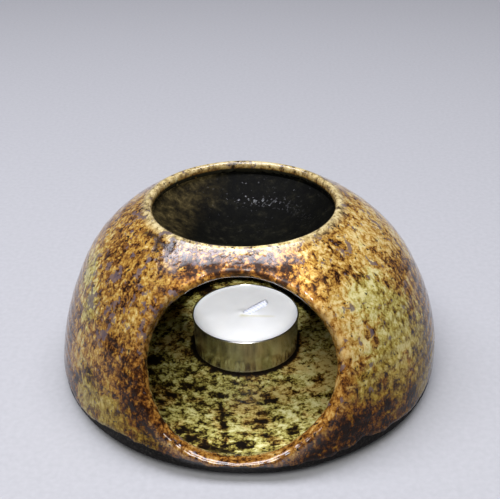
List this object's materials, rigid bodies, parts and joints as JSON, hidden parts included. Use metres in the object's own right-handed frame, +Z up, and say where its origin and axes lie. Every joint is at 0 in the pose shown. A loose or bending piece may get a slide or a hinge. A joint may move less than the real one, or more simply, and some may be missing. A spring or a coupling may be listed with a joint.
{
  "type": "essential oil burner",
  "caption": "Wheel-thrown stoneware dome with an oil well in its mouth and a round front window over a tealight.",
  "frame": {"origin": "centre of the flat foot, on the surface that the pot stands on", "axes": "+Z up through the oil well, -Y out of the middle of the window, +X to the right of someone who looks into the window"},
  "size_m": [0.1334, 0.1334, 0.0633],
  "materials": {
    "speckled_glaze": "glossy speckled glaze",
    "dark_well_glaze": "glossy, oiled",
    "foot_clay": "bare fired stoneware",
    "cup_aluminium": "bright drawn sheet",
    "candle_wax": "soft, slightly translucent",
    "wick_cotton": "braided, waxed",
    "sustainer_steel": "tinned"
  },
  "bodies": {
    "burner": {"dome_shell": "speckled_glaze", "base_disc": "foot_clay", "oil_well": "dark_well_glaze"},
    "tealight": {"tealight_cup": "cup_aluminium", "tealight_wax": "candle_wax", "tealight_wick": "wick_cotton", "wick_sustainer": "sustainer_steel"}
  },
  "joints": [
    {"name": "tealight_draw", "type": "slide", "parent": "burner", "child": "tealight", "axis": [0, -0.9659, 0.2588], "range_m": [0, 0.1]}
  ]
}
